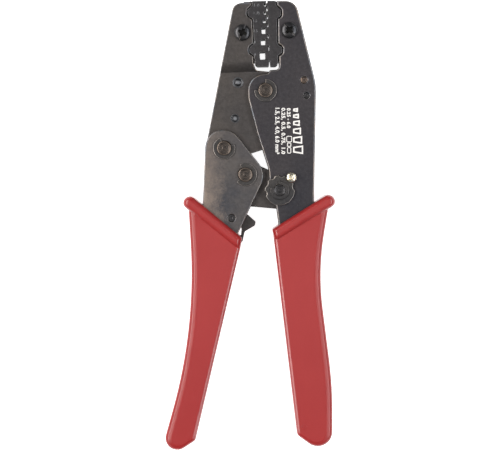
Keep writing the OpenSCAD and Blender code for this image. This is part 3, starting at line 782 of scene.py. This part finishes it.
def make_rivets():
    middle = centre_of("frame_spacer").z
    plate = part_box("frame_plate_front")[1].z
    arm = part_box("link_plate_front")[1].z
    # The frame's rivet near the jaw has a head, and the others lie just below their plates' faces
    below_plate = dome(RIVET_R, plate - 0.0002, 0.0002)
    below_arm = dome(RIVET_R, arm - 0.0005, 0.0003)
    for node, plain in (("frame_rivets", below_plate), ("handle_rivets", below_plate),
                        ("link_rivets", below_arm)):
        for i, (low, high) in enumerate(solids_of(node)):
            headed = node == "frame_rivets" and i == 0
            top = dome(DOME_R, plate - 0.0001, 0.00035) if headed else plain
            turned(f"{node[:-1]}_{i + 1}", node, both_ends(top, middle), (low + high) / 2,
                   ["turned_copper" if headed else "turned_dark"], SMALL_SIDES, () if i else [node])
    # Posts and the pawl's pin end a little below the plates' faces
    for node, radius in (("frame_spring_post", POST_R), ("pawl_spring_post", POST_R), ("pawl_pin", 0.0018)):
        end = plate - 0.0001
        top = rounded_step(radius, end, 0.0003, 1) + [(0.0003, end), (0, plate - 0.0003)]
        turned(node + "_look", node, both_ends(top, middle), centre_of(node), ["turned_dark"], SMALL_SIDES,
               [node])
    # The jaw's rivet and post: a stepped collar around a bright dome
    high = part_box("jaw_rivet")[1]
    rim, step, dish = 0.0027, arm + 0.00025, arm + 0.00012
    rivet = [(RIVET_R, arm), (rim, arm), *rounded_step(rim, step, 0.0002, 1), (0.0021, step), (0.0019, dish),
             *dome(DOME_R, dish, high.z - arm - 0.00012)]
    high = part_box("jaw_spring_post")[1]
    rim = 0.0022
    post = [(POST_R, arm), (rim, arm), *rounded_step(rim, arm + 0.0001, 0.0001, 1), (0.0018, arm + 0.00004),
            *dome(DOME_R, arm + 0.00002, high.z - arm - 0.00002)]
    for name, node, top in (("jaw_rivet_look", "jaw_rivet", rivet),
                            ("jaw_post_look", "jaw_spring_post", post)):
        turned(name, node, both_ends(top, middle), centre_of(node), ["rubbed_dome"], 48, [node])


def cross_cutter(reach, width, top, depth, turn):
    """A cross-shaped punch that narrows downwards and flares between its arms."""
    mesh = bmesh.new()
    rings = []
    flare = width * 1.55
    for height, scale in ((top + 0.0005, 1.06), (top, 1.0), (top - depth * 0.8, 0.80), (top - depth, 0.45)):
        ring = []
        for arm in range(4):
            heading = math.radians(turn + 90 * arm)
            for along, across in ((reach, -width), (reach, width), (flare, flare)):
                x, y = along * scale, across * scale
                ring.append(mesh.verts.new((x * math.cos(heading) - y * math.sin(heading),
                                            x * math.sin(heading) + y * math.cos(heading), height)))
        rings.append(ring)
    for low, high in zip(rings, rings[1:]):
        bridge(mesh, low, high)
    mesh.faces.new(rings[0])
    mesh.faces.new(rings[-1])
    bmesh.ops.recalc_face_normals(mesh, faces=mesh.faces)
    return mesh


def make_screw(node, head_r, shank_r, seat, recess, turn, material, slotted):
    """A pan-head screw and its plain shank; if slotted, its recess is nearly black, painted shade, and its
    slot lighter, a painted highlight.
    """
    low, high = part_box(node)
    height = high.z - seat
    rim = 0.34 * height
    steps = 8
    crown = [(head_r * math.cos(math.radians(90 * i / steps)) ** 0.85,
              seat + rim + (height - rim) * math.sin(math.radians(90 * i / steps))) for i in range(steps)]
    profile = [(0, low.z), (shank_r - 0.0003, low.z), (shank_r, low.z + 0.0003), (shank_r, seat),
               (head_r - 0.0002, seat), (head_r, seat + 0.0002)] + crown + [(0, high.z)]
    piece = turned(node + "_look", node, profile, centre_of(node), [material, "recess_black", "worn_edge"],
                   72, [node])
    reach, width, depth = recess
    # Painted shade: a slotted screw's cross recess takes the nearly black material
    cutters = [(cross_cutter(reach, width, high.z, depth, turn), 1 if slotted else 0)]
    if slotted:
        # Painted highlight: the slot is cut in the lighter edge steel
        half_long, half_wide, floor = head_r * 1.1, 0.00026, high.z - 0.42 * height
        corners = [Vector((half_long * x, half_wide * y)) for x, y in SQUARE]
        slot = rolled_prism([corners], floor, high.z + 0.001, 0.00008, 1)
        slot.transform(Matrix.Rotation(math.radians(turn), 4, "Z"))
        cutters.insert(0, (slot, 2))
    cut(piece, cutters)
    piece.data.shade_smooth()
    piece.data.set_sharp_from_angle(angle=SHARP)
    soften = piece.modifiers.new("soften", "BEVEL")
    soften.width = 0.00009
    soften.segments = 2
    soften.limit_method = "ANGLE"
    soften.angle_limit = math.radians(32)


def make_screws():
    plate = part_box("frame_plate_front")[1].z
    wheel_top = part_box("adjuster_clip")[0].z
    # A recess is its arms' reach, their half width and its depth
    recess = (0.0022, 0.00056, 0.0016)
    small_recess = (0.0015, 0.00036, 0.0010)
    make_screw("fixed_die_screw", 0.0040, 0.0020, plate, recess, -46, "screw_black", True)
    make_screw("moving_die_screw", 0.0040, 0.0020, plate, recess, 67, "screw_black", True)
    make_screw("adjuster_lock_screw", 0.00255, 0.0014, wheel_top, small_recess, 20, "yellowed_nickel", False)


# ---------------------------------------------------------------- springs

WIRE_R = 0.00045
HOOK_R = 0.0005          # the radius inside the hook that holds the pawl
COIL_TURNS = 7.5


def wire(name, node, points):
    """A round wire along points, closed at its ends, that rides on no body."""
    sides = 8
    mesh = bmesh.new()
    rings = []
    side = None
    for i, point in enumerate(points):
        ahead = (points[min(i + 1, len(points) - 1)] - points[max(i - 1, 0)]).normalized()
        if side is None:
            side = ahead.orthogonal().normalized()
        side = (side - ahead * side.dot(ahead)).normalized()
        other = ahead.cross(side)
        rings.append([mesh.verts.new(point + WIRE_R * (side * math.cos(2 * math.pi * k / sides)
                                                       + other * math.sin(2 * math.pi * k / sides)))
                      for k in range(sides)])
    for low, high in zip(rings, rings[1:]):
        bridge(mesh, low, high)
    mesh.faces.new(rings[0])
    mesh.faces.new(rings[-1])
    return finish_piece(name, mesh, node, ["spring_wire"], [node], rides=False)


def helix_points(start, heading, length, radius):
    steps = 14
    up = Vector((0, 0, 1))
    side = up.cross(heading).normalized()
    count = int(COIL_TURNS * steps)
    return [start + heading * (length * i / count)
            + radius * (side * math.cos(2 * math.pi * i / steps) + up * math.sin(2 * math.pi * i / steps))
            for i in range(count + 1)]


def eye_points(centre, heading, radius):
    """Nearly a full loop around a post, ending where the wire leaves along the heading."""
    steps = 16
    side = Vector((-heading.y, heading.x, 0))
    return [centre + radius * (heading * math.cos(math.radians(a)) + side * math.sin(math.radians(a)))
            for a in [330 - 315 * i / steps for i in range(steps)]]


def make_spring(node, post_a, post_b, radius_a, radius_b, coil_r, gap, length):
    """An extension spring: an eye on one post, a gap, its coil of a length, and an eye on the other post."""
    lead = 0.0006
    heading = (post_b - post_a).normalized()
    points = eye_points(post_a, heading, radius_a + WIRE_R + PLAY)
    points += [post_a + heading * (gap - lead)]
    points += helix_points(post_a + heading * gap, heading, length, coil_r - WIRE_R)
    points += [post_a + heading * (gap + length + lead)]
    points += reversed(eye_points(post_b, -heading, radius_b + WIRE_R + PLAY))
    piece = wire(node + "_wire", node, points)
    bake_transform(piece)


def make_springs():
    level = centre_of("frame_spacer").z

    def post(node):
        centre = centre_of(node)
        return Vector((centre.x, centre.y, level))
    make_spring("return_spring", post("frame_spring_post"), post("jaw_spring_post"), POST_R, POST_R, 0.0025,
                0.0027, 0.0074)
    # The pawl's hook is the far end of its spring
    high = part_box("pawl_spring")[1]
    eye = HOOK_R + PLAY + 2 * WIRE_R
    hook = Vector((high.x - eye, high.y - eye, level))
    make_spring("pawl_spring", post("pawl_spring_post"), hook, POST_R, HOOK_R, 0.0017, 0.0024, 0.0072)


# ---------------------------------------------------------------- grips

GRIP_HALF = 0.00875      # half of the thickness of a grip's body, without its collar, in the CAD model
SKIN = 0.00003           # how far a grip's look stays inside the CAD grip


def collar_line(collar):
    """A collar outline's middle point, and the direction square to its length that points down the handle."""
    points = resampled(collar, 0.0005)
    middle = sum(points, Vector((0, 0))) / len(points)
    xx = sum((p.x - middle.x) ** 2 for p in points)
    yy = sum((p.y - middle.y) ** 2 for p in points)
    xy = sum((p.x - middle.x) * (p.y - middle.y) for p in points)
    heading = math.atan2(2 * xy, xx - yy) / 2
    down = Vector((-math.sin(heading), math.cos(heading)))
    return middle, down if down.y < 0 else -down


def under_collar(outline, collar):
    """A grip's outline whose two long sides run straight on under the collar, and which part is its mouth."""
    middle, down = collar_line(collar)
    # From the collar's middle line: where the sides are taken up, and where they run on to
    clear, end = 0.0048, -0.0005
    spacing, fine = 0.0011, 0.0008
    points = resampled(outline, spacing)
    kept = [(p - middle).dot(down) > clear for p in points]
    start = next(i for i in range(len(points)) if kept[i] and not kept[i - 1])
    points = points[start:] + points[:start]
    body = points[:sum(kept)]
    for near, back, at_end in ((body[-1], body[-5], True), (body[0], body[4], False)):
        way = (near - back).normalized()
        reach = ((near - middle).dot(down) - end) / -way.dot(down)
        steps = max(2, round(reach / fine))
        more = [near + way * reach * k / steps for k in range(1, steps + 1)]
        body = body + more if at_end else more[::-1] + body
    count = len(body)
    mouth = max(2, round((body[0] - body[-1]).length / spacing))
    body += [body[-1].lerp(body[0], k / mouth) for k in range(1, mouth)]
    return body, [i >= count - 1 or i == 0 for i in range(len(body))]


def resampled(outline, step):
    """The same closed outline with points at an even step."""
    points = []
    for a, b in zip(outline, outline[1:] + outline[:1]):
        count = max(1, round((b - a).length / step))
        points += [a + (b - a) * k / count for k in range(count)]
    return points


def smoothed(values, passes):
    for _ in range(passes):
        after = values[1:] + values[:1]
        values = [(values[i - 1] + 2 * values[i] + after[i]) / 4 for i in range(len(values))]
    return values


def lofted(outline, insets, section, middle):
    """A closed body over an outline: section is (share of the inset, height over the middle), side to top."""
    targets = moved_inwards(outline, insets)
    mesh = bmesh.new()
    levels = [(share, -height) for share, height in reversed(section)] + list(section)[1:]
    rings = [ring_between(mesh, outline, targets, share, middle + height) for share, height in levels]
    for below, above in zip(rings, rings[1:]):
        bridge(mesh, below, above)
    cap(mesh, [rings[0]])
    cap(mesh, [rings[-1]])
    bmesh.ops.recalc_face_normals(mesh, faces=mesh.faces)
    return mesh


def grip_section(half):
    """From the side's middle up: an upright side, a soft corner and a slanted border that eases off."""
    shares = [(0.0, 0.0), (0.0, 0.40), (0.0, 0.74), (0.01, 0.790), (0.04, 0.825), (0.10, 0.855),
              (0.20, 0.895)]
    slopes = (1.3, 1.1, 1.0, 1.0, 1.0, 0.95, 0.70, 0.35)
    start, drop = 0.34, 0.056
    level = 1 - drop
    for k, slope in enumerate(slopes):
        shares.append((start + (1 - start) * k / len(slopes), level))
        level += drop * slope / sum(slopes)
    shares.append((1.0, 1.0))
    return [(share, half * level) for share, level in shares]


def bead_section(half):
    """A collar's section: a full round over the sides and a soft crown."""
    steps = 9
    wall = 0.74
    shares = [(0.0, 0.0), (0.0, 0.45)]
    for i in range(steps + 1):
        share = 1 - math.cos(math.pi / 2 * i / steps)
        shares.append((share, wall + (1 - wall) * (1 - (1 - share) ** 2) ** 0.6))
    return [(share, half * level) for share, level in shares]


def make_grip(node, outward):
    """One grip: a body with slanted borders and a rounded collar, hollow where the CAD grip is hollow."""
    low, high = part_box(node)
    middle = (low.z + high.z) / 2
    collar_outline = face_loop(node, high.z)
    outline, mouth = under_collar(face_loop(node, middle + GRIP_HALF), collar_outline)
    outline = grown(outline, -SKIN)
    count = len(outline)
    insets = []
    for i in range(count):
        # The border is wider on the side that turns away from the other grip
        along = (outline[(i + 1) % count] - outline[i - 1]).normalized()
        outer = (along.y * outward + 1) / 2
        wide = 0.0018 + 0.0016 * outer * outer * (3 - 2 * outer)
        insets.append(0.0010 if mouth[i] else wide)
    body = lofted(outline, smoothed(insets, 6), grip_section(GRIP_HALF - SKIN), middle)
    points = grown(resampled(collar_outline, 0.0008), -SKIN)
    collar = lofted(points, [0.0026] * len(points), bead_section(high.z - middle - SKIN), middle)
    piece = finish_piece(node + "_look", body, node, ["moulded_vinyl"], [node])
    combine(piece, passing(collar), "UNION")
    combine(piece, passing(cad_copy(node)), "INTERSECT")
    piece.data.shade_smooth()
    piece.data.set_sharp_from_angle(angle=math.radians(42))
    flat_shaded(piece)


def grown(outline, distance):
    """A closed outline moved outwards."""
    count = len(outline)
    result = []
    for i in range(count):
        before = (outline[i] - outline[i - 1]).normalized()
        after = (outline[(i + 1) % count] - outline[i]).normalized()
        normal = Vector((before.y + after.y, -before.x - after.x))
        if normal.length < 1e-6:
            result.append(outline[i])
            continue
        normal.normalize()
        result.append(outline[i] + normal * distance / max(0.4, normal.dot(Vector((after.y, -after.x)))))
    return result


def make_grips():
    make_grip("fixed_grip", 1)
    make_grip("moving_grip", -1)
    # The ring that an ejector pin leaves
    low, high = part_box("fixed_grip")
    face = (low.z + high.z) / 2 + GRIP_HALF - SKIN
    foot, floor, crest = face - 0.0002, face + 0.00002, face + 0.00007
    ring = [(0, foot), (0.00135, foot), (0.00132, face + 0.00004), (0.00126, crest), (0.00112, crest),
            (0.00106, floor), (0, floor)]
    turned("ejector_mark", "fixed_grip", ring, (high.x - 0.0150, low.y + 0.0100), ["moulded_vinyl"],
           SMALL_SIDES)


# ---------------------------------------------------------------- print

INK = 0.00003            # how thick the print is


def print_mesh(name, data, node, material):
    piece = linked(name, data)
    data.materials.clear()
    data.materials.append(bpy.data.materials[material])
    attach(piece, BODY_OF[node])


def printed(name, text, middle, size, turn, node, material="print_ink", bold=0.040):
    """Generic figures on a face: size is (length, height) of the whole line, middle is its centre."""
    curve = bpy.data.curves.new(name, "FONT")
    curve.body = text
    curve.extrude = 0.5
    curve.offset = bold
    curve.space_character = 1.08
    curve.resolution_u = 3
    made = linked(name + "_curve", curve)
    bpy.context.view_layer.update()
    data = bpy.data.meshes.new_from_object(made.evaluated_get(bpy.context.evaluated_depsgraph_get()))
    bpy.data.objects.remove(made)
    low = [min(v.co[i] for v in data.vertices) for i in range(2)]
    high = [max(v.co[i] for v in data.vertices) for i in range(2)]
    centre = Vector(((low[0] + high[0]) / 2, (low[1] + high[1]) / 2, 0))
    scale = Matrix.Diagonal((size[0] / (high[0] - low[0]), size[1] / (high[1] - low[1]), INK, 1))
    data.transform(Matrix.Translation(middle) @ Matrix.Rotation(math.radians(turn), 4, "Z") @ scale
                   @ Matrix.Translation(-centre))
    data.name = name
    print_mesh(name, data, node, material)


def drawn(name, strokes, middle, turn, node):
    """Line drawings on a face: strokes are pairs of an outer and an inner outline with as many corners."""
    mesh = bmesh.new()
    for outer, inner in strokes:
        rings = [[mesh.verts.new((x, y, z)) for x, y in path]
                 for path, z in ((outer, -INK / 2), (outer, INK / 2), (inner, INK / 2), (inner, -INK / 2))]
        for below, above in zip(rings, rings[1:] + rings[:1]):
            bridge(mesh, below, above)
    bmesh.ops.recalc_face_normals(mesh, faces=mesh.faces)
    mesh.transform(Matrix.Translation(middle) @ Matrix.Rotation(math.radians(turn), 4, "Z"))
    data = bpy.data.meshes.new(name)
    mesh.to_mesh(data)
    mesh.free()
    print_mesh(name, data, node, "print_ink")


def framed(path, stroke):
    """A convex outline, and the same outline moved in by a stroke's width."""
    points = [Vector(p) for p in path]
    return path, [tuple(p) for p in grown(points, -stroke)]


def rounded_box(x0, y0, x1, y1, radius):
    """A box outline with rounded corners, counter-clockwise."""
    points = []
    for cx, cy, start in ((x1 - radius, y0 + radius, -90), (x1 - radius, y1 - radius, 0),
                          (x0 + radius, y1 - radius, 90), (x0 + radius, y0 + radius, 180)):
        for turn in (0, 30, 60, 90):
            angle = math.radians(start + turn)
            points.append((cx + radius * math.cos(angle), cy + radius * math.sin(angle)))
    return points


def make_print():
    """The size block on the frame's plate: two rows of sizes, a range, a ferrule and a row of nest shapes."""
    pivot = centre_of("main_pivot_pin")
    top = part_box("frame_plate_front")[1].z + INK / 2
    node = "frame_plate_front"
    long = 0.0226
    half = pivot.y - 0.0198

    def at(column, along):
        return (pivot.x + column, half - along, top)
    printed("print_row_1", "0.25, 0.5, 0.75, 1.0", at(0.0086, 0), (long, 0.0023), -90, node)
    printed("print_row_2", "1.5, 2.5, 4.0, 6.0 mm\u00b2", at(0.0057, 0), (long, 0.0025), -90, node)
    printed("print_range", "0.25 - 6.0", at(0.0114, -0.0063), (0.0098, 0.0019), -90, node)
    # A wire-end ferrule: its sleeve, its tube and the wire's end
    ferrule = [framed(rounded_box(*box), 0.00036) for box in ((-0.0043, -0.0014, -0.0012, 0.0014, 0.0007),
                                                              (-0.0010, -0.0010, 0.0010, 0.0010, 0.0003),
                                                              (0.0012, -0.0010, 0.0043, 0.0010, 0.0007))]
    drawn("print_ferrule", ferrule, at(0.0116, 0.0067), -90, node)
    # Nest shapes that grow from one end of the row to the other
    shapes, x, foot = [], -long / 2, -0.0022
    for wide in (0.0021, 0.0025, 0.0029, 0.0034, 0.0039, 0.0043):
        slope, crest = 0.18 * wide, foot + 1.15 * wide
        shape = [(x + slope, foot), (x + wide - slope, foot), (x + wide, crest), (x, crest)]
        shapes.append(framed(shape, 0.00072))
        x += wide + 0.0007
    drawn("print_nests", shapes, at(0.0157, 0), -90, node)
    # Sizes stamped beside the nests: each is how far up the die it is in mm, its text and its length
    die_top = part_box("moving_die")[1].z + INK / 3
    stamps = ((5.6, "6", 0.0008), (11.6, "4", 0.0008), (17.0, "2.5", 0.0019), (21.8, "1.5", 0.0019),
              (25.6, "1 .75", 0.0027), (29.5, ".5 .25", 0.0029))
    for i, (up, text, length) in enumerate(stamps):
        x = pivot.x - 0.0042 - 0.0006 * (i < 2) - up * 0.00004 + 0.0009 * (i > 3)
        printed(f"stamp_{i + 1}", text, (x, pivot.y + 0.012 + up * 0.001, die_top), (length, 0.0012), 0,
                "moving_die", "stamp_mark", 0.0)


# ---------------------------------------------------------------- everything

make_camera()
make_stage()
make_steel_materials()
make_turned_materials()
make_other_materials()
make_sheet_steel()
make_pins()
make_rivets()
make_screws()
make_springs()
make_grips()
make_print()
